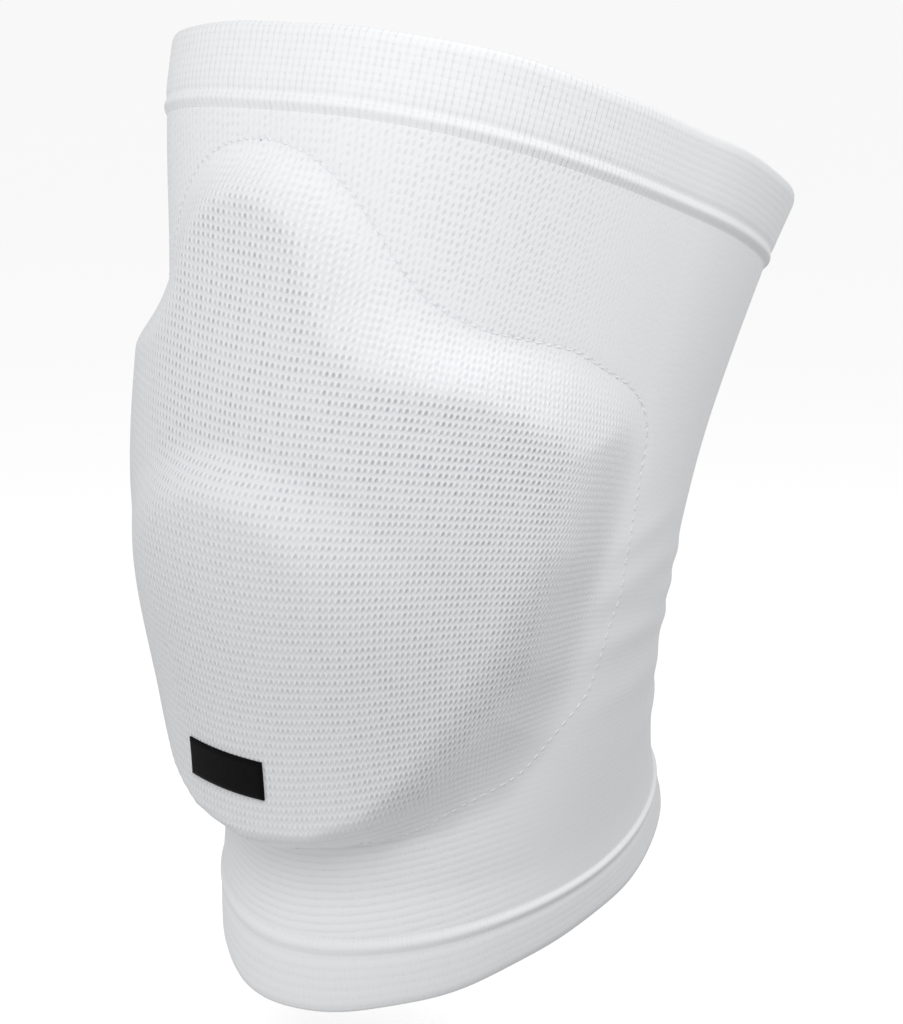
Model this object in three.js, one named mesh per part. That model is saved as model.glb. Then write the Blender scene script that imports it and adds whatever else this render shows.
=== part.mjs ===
// Wrestling knee pad in its worn form: a knitted sleeve with a foam pad in a pocket over the knee.
// Millimetres, +Z up, the front of the knee towards -Y. The origin lies on the leg's axis, in the
// middle of the bend. s is the length along that axis, theta the angle round it from the front,
// and n the distance out from the leg.
import * as THREE from 'three';

const DEG = Math.PI / 180;

// The bend: from the kneecap the thigh and the calf both lean back.
const THIGH_TILT = 19.4 * DEG;
const CALF_TILT = 27.1 * DEG;
const BEND_HALF_LENGTH = 95;
const AXIS_STEP = 0.5;

// Ends of the pieces along the axis.
const TOP_RIM = 139;
const UPPER_JOIN = 119.6;
const LOWER_JOIN = -41.6;
const BOTTOM_RIM = -54.5;

// Thicknesses and clearances.
const KNIT = 2;
const HEM = 2.5;
const BEAD_RISE = 0.6;
const BEAD_WIDTH = 3.6;
const ROUNDING = 0.3;
const GAP = 0.3;
const FOAM_EDGE = 1.5;
const FOAM_INSET = 2;

// The leg inside the sleeve: half-sizes of its section to the front, to the back and to each side.
// squareness is the exponent of the front half, 2 for an ellipse.
const LEG_SECTIONS = [
  { s: -54.5, front: 63.5, back: 57.0, side: 54.5, squareness: 1.92 },
  { s: -42, front: 56.0, back: 57.0, side: 55.5, squareness: 1.88 },
  { s: -32, front: 49.3, back: 57.5, side: 56.5, squareness: 1.86 },
  { s: 0, front: 42.2, back: 59.0, side: 61.5, squareness: 1.92 },
  { s: 40, front: 54.0, back: 61.0, side: 66.0, squareness: 2.15 },
  { s: 80, front: 64.0, back: 66.5, side: 66.5, squareness: 2.45 },
  { s: 120, front: 75.5, back: 75.5, side: 68.0, squareness: 2.8 },
  { s: 139, front: 78.0, back: 82.0, side: 69.0, squareness: 2.9 },
];
const BACK_SQUARENESS = 1.92;

// The pad is laid out flat: across is measured round the leg at this radius, up is s.
const LAYOUT_RADIUS = 60;

// Corners of the right half of the pocket's seam, of the foot of the pad's slope and of the foam's
// face, from the top down. Each outline is rounded outwards by its corner radius and joined by a
// fillet to the lobe on the thigh. The foot follows the seam at the top, lies inside it at the
// sides, where the knit spans to the seam, and just outside it below.
const SEAM = {
  corners: [
    { across: 0, up: 63 },
    { across: 70, up: 67 },
    { across: 82, up: 64 },
    { across: 82, up: 30 },
    { across: 78, up: 13 },
    { across: 67, up: 2 },
    { across: 42, up: -6.5 },
    { across: 0, up: -13 },
  ],
  cornerRadius: 14,
  lobeRadius: 31,
  fillet: 28,
};
const FOOT = {
  corners: [
    { across: 0, up: 63 },
    { across: 70, up: 67 },
    { across: 82, up: 64 },
    { across: 78, up: 46 },
    { across: 75, up: 30 },
    { across: 74, up: 14 },
    { across: 71, up: 2 },
    { across: 64, up: -5 },
    { across: 54, up: -7.5 },
    { across: 32, up: -9.5 },
    { across: 0, up: -12.5 },
  ],
  cornerRadius: 14,
  lobeRadius: 31,
  fillet: 28,
};
const FACE = {
  corners: [
    { across: 0, up: 57 },
    { across: 52, up: 60 },
    { across: 62, up: 56 },
    { across: 63, up: 40 },
    { across: 58, up: 23 },
    { across: 50, up: 9 },
    { across: 42, up: -1 },
    { across: 32, up: -8.5 },
    { across: 19, up: -12.5 },
    { across: 0, up: -14 },
  ],
  cornerRadius: 5,
  lobeRadius: 15,
  fillet: 30,
};
const LOBE_FOOT = 40;
const LOBE_HEAD = 81.5;

// Height of the foam's face over the leg, which falls away up the lobe. Its slope is a blunt wall at
// the front of its lower edge, and eases in at its foot everywhere else. A blend runs from its first
// end to its second.
const FACE_RISE = 12.5;
const LOBE_RISE = 7.2;
const LOBE_BLEND = [-5, 90];
const WALL_POWER = 1.6;
const WALL_BLEND = [34, 62];
const WALL_HEAD_BLEND = [0, 40];
const CREASE = 1.5;

// The dome over the kneecap, an ellipse on the face. It stands highest at its top, where its slope is
// short, and falls away towards its foot and, over longer slopes, towards its sides.
const DOME = {
  up: 4,
  halfAcross: 68,
  halfUp: 45.5,
  topSlope: 11,
  sideSlope: 36,
  topRise: 6.6,
  footRise: 0.4,
};

// The label, a small blank woven tag, sewn on a little to the left of the middle.
const LABEL = { middle: -4.6 * DEG, halfAngle: 13.5 * DEG, bottom: -12.1, top: -5.3, thickness: 0.8 };
const LABEL_COLUMNS = 6;
const LABEL_ROWS = 3;

// Where the facets divide: half-angles from the front round to the back, close together over the
// pad's edges, and rows up the sleeve.
const HALF_ANGLES = [
  0, 5, 10.5, 15, 19, 23.5, 28, 32, 37, 42, 46, 50, 54, 59, 64.5, 70, 75, 80, 85, 90, 95, 101,
  111, 124, 138, 152, 166, 180,
];
const SLEEVE_ROWS = [
  -35, -30.5, -28, -25.5, -23, -20, -15, -8, 0, 11, 23, 35, 41.5, 45, 49, 54, 60, 65, 69, 73, 77,
  81.5, 87, 93, 98.5, 104, 108.5, 113,
];

const FINISHES = {
  knit: { color: 0xf2f4f8, roughness: 0.9, metalness: 0 },
  foam: { color: 0xe9e6dc, roughness: 0.85, metalness: 0 },
  label: { color: 0x17171a, roughness: 0.7, metalness: 0 },
};

/** All the column angles in one turn, from just past the back on the left round to the back. */
function columnAngles() {
  const right = HALF_ANGLES.slice(1).map((degrees) => degrees * DEG);
  const left = right.slice(0, -1).reverse().map((angle) => -angle);
  return [...left, 0, ...right];
}

/** Smooth step from 0 to 1. */
function smooth(t) {
  const c = Math.min(1, Math.max(0, t));
  return c * c * (3 - 2 * c);
}

/** Smooth step from 0 to 1 as a value goes from one end to the other. */
function ramp(value, [start, end]) {
  return smooth((value - start) / (end - start));
}

/** The lesser of a and b, blended over a width. */
function softMin(a, b, width) {
  const h = Math.min(1, Math.max(0, 0.5 + (0.5 * (b - a)) / width));
  return b * (1 - h) + a * h - width * h * (1 - h);
}

/** Lean of the leg's axis at s, forwards being negative. */
function tiltAt(s) {
  const middle = (THIGH_TILT - CALF_TILT) / 2;
  const swing = (THIGH_TILT + CALF_TILT) / 2;
  const along = Math.min(1, Math.max(-1, s / BEND_HALF_LENGTH));
  return middle + swing * Math.sin((Math.PI / 2) * along);
}

/** Centre of the section at s, stepped along the axis from the origin. */
function centreAt(s) {
  const steps = Math.max(1, Math.round(Math.abs(s) / AXIS_STEP));
  const length = s / steps;
  let y = 0;
  let z = 0;
  for (let i = 0; i < steps; i += 1) {
    const tilt = tiltAt((i + 0.5) * length);
    y += length * Math.sin(tilt);
    z += length * Math.cos(tilt);
  }
  return { y, z };
}

/** Slope of one column of the leg's table at a row. */
function tableSlope(column, row) {
  const low = LEG_SECTIONS[Math.max(0, row - 1)];
  const high = LEG_SECTIONS[Math.min(LEG_SECTIONS.length - 1, row + 1)];
  return (high[column] - low[column]) / (high.s - low.s);
}

/** One size of the leg at s, on a smooth curve through its table. */
function legSize(column, s) {
  const last = LEG_SECTIONS.length - 2;
  const found = LEG_SECTIONS.findIndex((section) => section.s > s) - 1;
  const row = found < -1 ? last : Math.max(0, found);
  const [low, high] = [LEG_SECTIONS[row], LEG_SECTIONS[row + 1]];
  const span = high.s - low.s;
  const t = Math.min(1, Math.max(0, (s - low.s) / span));
  const rise = smooth(t);
  const leave = t * (1 - t) ** 2 * span * tableSlope(column, row);
  const arrive = t * t * (t - 1) * span * tableSlope(column, row + 1);
  return low[column] * (1 - rise) + high[column] * rise + leave + arrive;
}

/** Radius of the leg at an angle and height. */
function legRadius(theta, s) {
  const facing = Math.cos(theta);
  const depth = legSize(facing >= 0 ? 'front' : 'back', s);
  const power = facing >= 0 ? legSize('squareness', s) : BACK_SQUARENESS;
  const across = Math.abs(Math.sin(theta) / legSize('side', s)) ** power;
  const along = Math.abs(facing / depth) ** power;
  return (across + along) ** (-1 / power);
}

/** Point at a distance out from the leg. */
function pointAt(theta, s, n) {
  const { y, z } = centreAt(s);
  const tilt = tiltAt(s);
  const radius = legRadius(theta, s) + n;
  const forward = radius * Math.cos(theta);
  return new THREE.Vector3(
    radius * Math.sin(theta),
    y - forward * Math.cos(tilt),
    z + forward * Math.sin(tilt),
  );
}

/** Signed distance from a flat point to a closed polygon, negative inside. */
function polygonDistance(point, polygon) {
  let nearest = Infinity;
  let sign = 1;
  polygon.forEach((corner, i) => {
    const next = polygon[(i + 1) % polygon.length];
    const edge = next.clone().sub(corner);
    const reach = point.clone().sub(corner);
    const t = Math.min(1, Math.max(0, reach.dot(edge) / edge.lengthSq()));
    nearest = Math.min(nearest, reach.distanceTo(edge.clone().multiplyScalar(t)));
    const rising = corner.y <= point.y && next.y > point.y;
    const falling = corner.y > point.y && next.y <= point.y;
    const left = edge.cross(reach) > 0;
    if ((rising && left) || (falling && !left)) sign = -sign;
  });
  return sign * nearest;
}

/** The closed polygon of an outline given by the corners of its right half. */
function wholePolygon({ corners }) {
  const right = corners.map(({ across, up }) => new THREE.Vector2(across, up));
  const left = right.slice(1, -1).reverse().map((corner) => new THREE.Vector2(-corner.x, corner.y));
  return [...right, ...left];
}

for (const outline of [SEAM, FOOT, FACE]) outline.polygon = wholePolygon(outline);

/** Signed distance to an outline of the pad: its rounded body joined to the lobe. */
function outlineDistance(theta, s, outline) {
  const point = new THREE.Vector2(Math.abs(theta) * LAYOUT_RADIUS, s);
  const body = polygonDistance(point, outline.polygon) - outline.cornerRadius;
  const spine = new THREE.Vector2(0, Math.min(LOBE_HEAD, Math.max(LOBE_FOOT, s)));
  const lobe = point.distanceTo(spine) - outline.lobeRadius;
  return softMin(body, lobe, outline.fillet);
}

/** Share of the dome's height, from its depth inside the ellipse to first order. */
function domeShare(theta, s) {
  const across = (Math.abs(theta) * LAYOUT_RADIUS) / DOME.halfAcross;
  const up = (s - DOME.up) / DOME.halfUp;
  const reach = Math.hypot(across, up);
  const slope = Math.hypot(across / DOME.halfAcross, up / DOME.halfUp);
  if (slope === 0) return 1;
  const depth = (reach * (1 - reach)) / slope;
  const length = DOME.topSlope + (DOME.sideSlope - DOME.topSlope) * (across / reach) ** 2;
  return smooth(depth / length);
}

/** How far the pocket stands out from the leg: a slope up to the face, then the dome on it. */
function pocketRise(theta, s) {
  const inside = Math.max(0, -outlineDistance(theta, s, FOOT));
  const outside = Math.max(0, outlineDistance(theta, s, FACE));
  if (inside === 0) return 0;
  const up = inside / (inside + outside);
  const wall = (1 - (1 - up) ** WALL_POWER) * smooth(inside / CREASE);
  const front = (1 - ramp(Math.abs(theta) * LAYOUT_RADIUS, WALL_BLEND)) * (1 - ramp(s, WALL_HEAD_BLEND));
  const bevel = smooth(up) + (wall - smooth(up)) * front;
  const level = FACE_RISE + (LOBE_RISE - FACE_RISE) * ramp(s, LOBE_BLEND);
  const height = Math.min(1, Math.max(0, 0.5 + (s - DOME.up) / (2 * DOME.halfUp)));
  const crown = DOME.footRise + (DOME.topRise - DOME.footRise) * height;
  return level * bevel + crown * domeShare(theta, s) * smooth(up);
}

/** A mesh from shared vertices and triangles. */
function makeMesh(name, vertices, triangles, finish) {
  const places = vertices.flatMap((vertex) => vertex.toArray());
  const geometry = new THREE.BufferGeometry();
  geometry.setAttribute('position', new THREE.Float32BufferAttribute(places, 3));
  geometry.setIndex(triangles.flat());
  geometry.computeVertexNormals();
  const mesh = new THREE.Mesh(geometry, new THREE.MeshStandardMaterial(finish));
  mesh.name = name;
  return mesh;
}

/** The two triangles of a facet from its corners in turn, its diagonal mirrored on the left side. */
function splitFacet(a, b, c, d, onLeft) {
  return onLeft ? [[a, b, d], [b, c, d]] : [[a, b, c], [a, c, d]];
}

/** A ring swept round the leg. Its profile is a closed loop of { s, n } turning from the inside up. */
function sweepRing(profile, lift) {
  const angles = columnAngles();
  const vertices = [];
  const triangles = [];
  for (const { s, n } of profile) {
    vertices.push(...angles.map((theta) => pointAt(theta, s, n + lift(theta, s))));
  }
  const index = (row, column) => (row % profile.length) * angles.length + (column % angles.length);
  for (let row = 0; row < profile.length; row += 1) {
    for (let column = 0; column < angles.length; column += 1) {
      const corners = [
        index(row, column),
        index(row + 1, column),
        index(row + 1, column + 1),
        index(row, column + 1),
      ];
      triangles.push(...splitFacet(...corners, angles[column] < 0));
    }
  }
  return { vertices, triangles };
}

/** The knitted tube, bulging over the pad. */
function makeSleeve() {
  const rows = [LOWER_JOIN + GAP, ...SLEEVE_ROWS, UPPER_JOIN - GAP];
  const inner = rows.map((s) => ({ s, n: 0 }));
  const outer = rows.map((s) => ({ s, n: KNIT })).reverse();
  const { vertices, triangles } = sweepRing([...inner, ...outer], pocketRise);
  return makeMesh('sleeve', vertices, triangles, FINISHES.knit);
}

/** A cuff: a doubled hem from its rim to the join, with a bead rolled along the join. */
function makeCuff(name, rim, join) {
  const inwards = Math.sign(join - rim);
  const edge = HEM / 2;
  const side = [
    { s: join, n: 0 },
    { s: join, n: HEM },
    { s: join - inwards * BEAD_WIDTH * ROUNDING, n: HEM + BEAD_RISE },
    { s: join - inwards * BEAD_WIDTH * (1 - ROUNDING), n: HEM + BEAD_RISE },
    { s: join - inwards * BEAD_WIDTH, n: HEM },
    { s: rim + inwards * edge, n: HEM },
    { s: rim, n: HEM * (1 - ROUNDING) },
    { s: rim, n: HEM * ROUNDING },
    { s: rim + inwards * edge, n: 0 },
  ];
  const profile = inwards < 0 ? side.reverse() : side;
  const { vertices, triangles } = sweepRing(profile, () => 0);
  return makeMesh(name, vertices, triangles, FINISHES.knit);
}

/** Front and back vertices of the foam, shared between the facets that meet there. */
class FoamVertices {
  constructor(angles, rows) {
    this.columns = angles.length;
    this.nodes = rows.map((s) => angles.map((theta) => {
      const rise = pocketRise(theta, s);
      const room = -outlineDistance(theta, s, SEAM) - FOAM_INSET;
      return {
        within: Math.min(rise - FOAM_EDGE, room),
        front: pointAt(theta, s, rise - GAP),
        back: pointAt(theta, s, 0),
      };
    }));
    this.known = new Map();
    this.fronts = [];
    this.backs = [];
  }

  node([row, column]) {
    return this.nodes[row][column];
  }

  number([row, column]) {
    return row * this.columns + column;
  }

  isFoam(place) {
    return this.node(place).within > 0;
  }

  share(key, front, back) {
    if (!this.known.has(key)) {
      this.known.set(key, this.fronts.length);
      this.fronts.push(front);
      this.backs.push(back);
    }
    return this.known.get(key);
  }

  /** The vertex at a corner of the facets. */
  keep(place) {
    const { front, back } = this.node(place);
    return this.share(`${this.number(place)}`, front, back);
  }

  /** The vertex where the foam's edge crosses the side between two corners. */
  cross(from, to) {
    const [low, high] = [from, to].sort((a, b) => this.number(a) - this.number(b));
    const [a, b] = [this.node(low), this.node(high)];
    const t = a.within / (a.within - b.within);
    const key = `${this.number(low)} ${this.number(high)}`;
    return this.share(key, a.front.clone().lerp(b.front, t), a.back.clone().lerp(b.back, t));
  }
}

/** The part of one triangle that is foam, as a loop of vertices, and the side it was cut along. */
function cutTriangle(corners, store) {
  const loop = [];
  const cut = {};
  corners.forEach((corner, i) => {
    const next = corners[(i + 1) % corners.length];
    if (store.isFoam(corner)) loop.push(store.keep(corner));
    if (store.isFoam(corner) === store.isFoam(next)) return;
    const vertex = store.cross(corner, next);
    loop.push(vertex);
    cut[store.isFoam(corner) ? 'leaving' : 'entering'] = vertex;
  });
  return { loop, cut };
}

/** The foam: the pocket's own facets, set in by the gap, ending short of the seam or where too thin. */
function makeFoam() {
  const angles = columnAngles();
  const store = new FoamVertices(angles, SLEEVE_ROWS);
  const faces = [];
  const rims = [];
  const addTriangle = (corners) => {
    const { loop, cut } = cutTriangle(corners, store);
    for (let i = 1; i + 1 < loop.length; i += 1) {
      faces.push([loop[0], loop[i], loop[i + 1]]);
    }
    if ('leaving' in cut) rims.push(cut);
  };
  for (let row = 0; row + 1 < SLEEVE_ROWS.length; row += 1) {
    for (let column = 0; column + 1 < angles.length; column += 1) {
      const corners = [[row, column], [row + 1, column], [row + 1, column + 1], [row, column + 1]];
      const inwards = splitFacet(...corners, angles[column] < 0);
      inwards.forEach((triangle) => addTriangle(triangle.reverse()));
    }
  }
  const count = store.fronts.length;
  const backFaces = faces.map(([a, b, c]) => [a + count, c + count, b + count]);
  const walls = rims.flatMap(({ leaving, entering }) => [
    [entering, leaving, leaving + count],
    [entering, leaving + count, entering + count],
  ]);
  const vertices = [...store.fronts, ...store.backs];
  return makeMesh('foam_pad', vertices, [...faces, ...backFaces, ...walls], FINISHES.foam);
}

/** The label: a thin tag that follows the front of the pocket. */
function makeLabel() {
  const vertices = [];
  const triangles = [];
  const lift = KNIT + GAP;
  for (const n of [lift, lift + LABEL.thickness]) {
    for (let row = 0; row <= LABEL_ROWS; row += 1) {
      const s = LABEL.bottom + ((LABEL.top - LABEL.bottom) * row) / LABEL_ROWS;
      for (let column = 0; column <= LABEL_COLUMNS; column += 1) {
        const theta = LABEL.middle + LABEL.halfAngle * ((2 * column) / LABEL_COLUMNS - 1);
        vertices.push(pointAt(theta, s, n + pocketRise(theta, s)));
      }
    }
  }
  const width = LABEL_COLUMNS + 1;
  const layer = width * (LABEL_ROWS + 1);
  for (let row = 0; row < LABEL_ROWS; row += 1) {
    for (let column = 0; column < LABEL_COLUMNS; column += 1) {
      const a = row * width + column;
      const corners = [a, a + 1, a + width + 1, a + width];
      triangles.push(...splitFacet(...corners.map((corner) => corner + layer), false));
      triangles.push(...splitFacet(...corners.reverse(), false));
    }
  }
  const steps = (count, vertexAt) => Array.from({ length: count }, (_, i) => vertexAt(i));
  const rim = [
    ...steps(LABEL_COLUMNS, (i) => i),
    ...steps(LABEL_ROWS, (i) => i * width + LABEL_COLUMNS),
    ...steps(LABEL_COLUMNS, (i) => LABEL_ROWS * width + LABEL_COLUMNS - i),
    ...steps(LABEL_ROWS, (i) => (LABEL_ROWS - i) * width),
  ];
  rim.forEach((vertex, i) => {
    const next = rim[(i + 1) % rim.length];
    triangles.push([vertex, next, next + layer], [vertex, next + layer, vertex + layer]);
  });
  return makeMesh('label', vertices, triangles, FINISHES.label);
}

const kneePad = new THREE.Group();
kneePad.name = 'knee_pad';
kneePad.add(
  makeSleeve(),
  makeCuff('upper_cuff', TOP_RIM, UPPER_JOIN),
  makeCuff('lower_cuff', BOTTOM_RIM, LOWER_JOIN),
  makeFoam(),
  makeLabel(),
);

export default kneePad;
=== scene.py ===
"""Looks of a knitted knee sleeve with a foam pad in its pocket, in the form it has when worn.

The leg that shapes the sleeve is a bent tube, given by the same sizes as the solids. Sizes are in millimetres
until a mesh is written, and meshes are in metres. A place on the leg is an angle round it, 0 at the front and
growing towards +X, a station along its axis, and a lift out from it.
"""

import logging
import math
from dataclasses import dataclass
from enum import Enum
from typing import NamedTuple, Union

import bpy
import numpy as np
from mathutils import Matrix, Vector


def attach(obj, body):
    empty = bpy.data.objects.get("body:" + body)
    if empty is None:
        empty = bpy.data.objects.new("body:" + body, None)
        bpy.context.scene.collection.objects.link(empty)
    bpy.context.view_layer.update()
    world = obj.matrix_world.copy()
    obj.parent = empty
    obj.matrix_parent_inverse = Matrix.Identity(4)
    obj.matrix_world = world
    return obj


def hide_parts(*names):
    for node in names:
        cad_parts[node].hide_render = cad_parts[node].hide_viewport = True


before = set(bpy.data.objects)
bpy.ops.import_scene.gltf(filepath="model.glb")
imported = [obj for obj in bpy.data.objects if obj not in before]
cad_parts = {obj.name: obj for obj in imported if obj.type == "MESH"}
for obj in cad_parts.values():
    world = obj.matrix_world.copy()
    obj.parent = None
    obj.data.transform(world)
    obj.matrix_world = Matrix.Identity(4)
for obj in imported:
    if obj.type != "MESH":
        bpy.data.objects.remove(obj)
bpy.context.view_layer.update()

Array = np.ndarray
Node = bpy.types.Node
Tree = bpy.types.NodeTree
Material = bpy.types.Material
Piece = bpy.types.Object
Span = tuple[float, float]
Source = Union[Node, bpy.types.NodeSocket, float, int, str, tuple]
Inputs = dict[Union[str, int], Source]

log = logging.getLogger("knee_pad")

MM = 0.001
TAU = 2 * math.pi
TINY = 1e-9
BODY = "root"

# Millimetres along the pocket's seam from one stitch to the next.
SEAM_PITCH = 2.6

# Names of what a mesh carries for its material and for the node trees.
LAY_MAP = "knit_lay"
OPENNESS = "openness"
LOOPS = "loops"
COLUMNS = "columns"
COURSES = "courses"
SEAM_OFF = "seam_off"
SEAM_RUN = "seam_run"
SEAM_PULL = "seam_pull"
OUTWARD = "outward"


class Slot(Enum):
    """Names of the material slots."""

    KNIT = "knit"
    CUFF = "cuff_knit"
    FOAM = "foam"
    LABEL = "label"


class CuffEnd(Enum):
    """The two ends of the sleeve, as the way from the join to the rim."""

    THIGH = 1
    CALF = -1


def smooth(t: Array) -> Array:
    """Smooth step from 0 to 1 as t goes from 0 to 1."""
    c = np.clip(t, 0.0, 1.0)
    return c * c * (3.0 - 2.0 * c)


def ramp(value: Array, ends: Span) -> Array:
    """Smooth step from 0 to 1 as a value goes from one end to the other."""
    return smooth((value - ends[0]) / (ends[1] - ends[0]))


def blend(start: Array, end: Array, share: Array) -> Array:
    """The value at a share of the way from a start to an end."""
    return start + (end - start) * share


def soft_min(a: Array, b: Array, width: float) -> Array:
    """The lesser of a and b, blended over a width."""
    h = np.clip(0.5 + 0.5 * (np.asarray(b) - a) / width, 0.0, 1.0)
    return b * (1.0 - h) + a * h - width * h * (1.0 - h)


def hump(t: Array) -> Array:
    """A rounded ridge of height 1 at t = 0 that fades out past t = 1."""
    return np.exp(-np.square(t))


def linear(colour: str) -> tuple[float, float, float, float]:
    """Turns an sRGB hex colour such as #f2f4f8 into linear RGBA."""
    parts = [int(colour[i : i + 2], 16) / 255 for i in (1, 3, 5)]
    return (*(c / 12.92 if c <= 0.04045 else ((c + 0.055) / 1.055) ** 2.4 for c in parts), 1.0)


def wire(tree: Tree, node: Node, inputs: Inputs) -> None:
    """Sets or links inputs of a node.

    Args:
        tree: The node's tree.
        node: The node.
        inputs: By socket name or number, a value, an output socket, or a node whose first output is meant.
    """
    for socket, value in inputs.items():
        if isinstance(value, Node):
            tree.links.new(value.outputs[0], node.inputs[socket])
        elif isinstance(value, bpy.types.NodeSocket):
            tree.links.new(value, node.inputs[socket])
        else:
            node.inputs[socket].default_value = value


def add(tree: Tree, kind: str, inputs: Inputs, **settings: object) -> Node:
    """Adds a node to a tree.

    Args:
        tree: The tree that gets the node.
        kind: The node's type.
        inputs: Its inputs, as wire takes them.
        **settings: Options of the node itself.

    Returns:
        The new node.
    """
    node = tree.nodes.new(kind)
    for option, value in settings.items():
        setattr(node, option, value)
    wire(tree, node, inputs)
    return node


def blank(name: str) -> tuple[Material, Tree, Node]:
    """Makes a material to wire up.

    Args:
        name: What the real material is.

    Returns:
        The material, its tree and its shader.
    """
    material = bpy.data.materials.new(name)
    material.use_nodes = True
    return material, material.node_tree, material.node_tree.nodes["Principled BSDF"]


class LegSection(NamedTuple):
    """Half-sizes of the leg's section at a station. Squareness is the exponent of its front half."""

    station: float
    front: float
    back: float
    side: float
    squareness: float


@dataclass(frozen=True)
class Leg:
    """The bent leg inside the sleeve, which is left out and only shapes what is on it."""

    thigh_tilt: float = math.radians(19.4)
    calf_tilt: float = math.radians(27.1)
    bend_half_length: float = 95.0
    axis_reach: float = 180.0
    axis_step: float = 0.5
    back_squareness: float = 1.92
    sections: tuple[LegSection, ...] = (
        LegSection(-54.5, 63.5, 57.0, 54.5, 1.92),
        LegSection(-42.0, 56.0, 57.0, 55.5, 1.88),
        LegSection(-32.0, 49.3, 57.5, 56.5, 1.86),
        LegSection(0.0, 42.2, 59.0, 61.5, 1.92),
        LegSection(40.0, 54.0, 61.0, 66.0, 2.15),
        LegSection(80.0, 64.0, 66.5, 66.5, 2.45),
        LegSection(120.0, 75.5, 75.5, 68.0, 2.8),
        LegSection(139.0, 78.0, 82.0, 69.0, 2.9),
    )

    def tilt(self, station: Array) -> Array:
        """Lean of the axis, forwards being negative.

        Args:
            station: Stations along the axis.

        Returns:
            The lean at each station.
        """
        middle = (self.thigh_tilt - self.calf_tilt) / 2
        swing = (self.thigh_tilt + self.calf_tilt) / 2
        return middle + swing * np.sin(np.pi / 2 * np.clip(station / self.bend_half_length, -1.0, 1.0))

    def centre(self, station: Array) -> tuple[Array, Array]:
        """Place of the axis at a station.

        Args:
            station: Stations along the axis.

        Returns:
            The places in Y and in Z.
        """
        steps = np.arange(-self.axis_reach, self.axis_reach + self.axis_step, self.axis_step)
        middles = self.tilt((steps[:-1] + steps[1:]) / 2)
        places = []
        for lean in (np.sin(middles), np.cos(middles)):
            total = np.concatenate([[0.0], np.cumsum(lean * self.axis_step)])
            total -= np.interp(0.0, steps, total)
            places.append(np.interp(station, steps, total))
        return places[0], places[1]

    def size(self, column: str, station: Array) -> Array:
        """One size of the leg on a smooth curve through its table.

        Args:
            column: The table's column.
            station: Stations along the axis.

        Returns:
            The size at each station.
        """
        stations = np.array([row.station for row in self.sections])
        sizes = np.array([getattr(row, column) for row in self.sections])
        low = np.maximum(np.arange(len(stations)) - 1, 0)
        high = np.minimum(np.arange(len(stations)) + 1, len(stations) - 1)
        slopes = (sizes[high] - sizes[low]) / (stations[high] - stations[low])
        row = np.clip(np.searchsorted(stations, station, side="right") - 1, 0, len(stations) - 2)
        span = stations[row + 1] - stations[row]
        t = np.clip((station - stations[row]) / span, 0.0, 1.0)
        leave = t * (1 - t) ** 2 * span * slopes[row]
        arrive = t * t * (t - 1) * span * slopes[row + 1]
        return blend(sizes[row], sizes[row + 1], smooth(t)) + leave + arrive

    def radius(self, theta: Array, station: Array) -> Array:
        """Radius of the leg.

        Args:
            theta: Angles round the leg.
            station: Stations along it.

        Returns:
            The radius at each place.
        """
        front = np.cos(theta) >= 0
        depth = np.where(front, self.size("front", station), self.size("back", station))
        power = np.where(front, self.size("squareness", station), self.back_squareness)
        across = np.abs(np.sin(theta) / self.size("side", station)) ** power
        return (across + np.abs(np.cos(theta) / depth) ** power) ** (-1 / power)

    def point(self, theta: Array, station: Array, lift: Array) -> Array:
        """Points at a lift out from the leg.

        Args:
            theta: Angles round the leg.
            station: Stations along it.
            lift: Distances out from it.

        Returns:
            Points in millimetres, the last axis being X, Y and Z.
        """
        theta, station, lift = np.broadcast_arrays(theta, station, lift)
        y, z = self.centre(station)
        tilt = self.tilt(station)
        out = self.radius(theta, station) + lift
        forward = out * np.cos(theta)
        return np.stack([out * np.sin(theta), y - forward * np.cos(tilt), z + forward * np.sin(tilt)], -1)


@dataclass(frozen=True)
class Outline:
    """An outline of the pad laid flat: the right half's corners, rounded outwards and joined to the lobe."""

    corners: tuple[tuple[float, float], ...]
    corner_radius: float
    lobe_radius: float
    fillet: float
    lobe_foot: float = 40.0
    lobe_head: float = 81.5

    def body_distance(self, across: Array, up: Array) -> Array:
        """Signed distance to the polygon of the corners.

        Args:
            across: Places across the layout.
            up: Places up it.

        Returns:
            The distances, negative inside.
        """
        polygon = [*self.corners, *((-x, y) for x, y in self.corners[-2:0:-1])]
        nearest = np.full(np.shape(across), np.inf)
        sign = np.ones(np.shape(across))
        for (x0, y0), (x1, y1) in zip(polygon, [*polygon[1:], polygon[0]]):
            ex, ey = x1 - x0, y1 - y0
            rx, ry = across - x0, up - y0
            t = np.clip((rx * ex + ry * ey) / (ex * ex + ey * ey), 0.0, 1.0)
            nearest = np.minimum(nearest, np.hypot(rx - t * ex, ry - t * ey))
            left = ex * ry - ey * rx > 0
            crossed = ((y0 <= up) & (y1 > up) & left) | ((y0 > up) & (y1 <= up) & ~left)
            sign = np.where(crossed, -sign, sign)
        return sign * nearest

    def distance(self, across: Array, up: Array) -> Array:
        """Signed distance to the whole outline.

        Args:
            across: Places across the layout.
            up: Places up it.

        Returns:
            The distances, negative inside.
        """
        body = self.body_distance(across, up) - self.corner_radius
        lobe = np.hypot(across, up - np.clip(up, self.lobe_foot, self.lobe_head)) - self.lobe_radius
        return soft_min(body, lobe, self.fillet)


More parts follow.
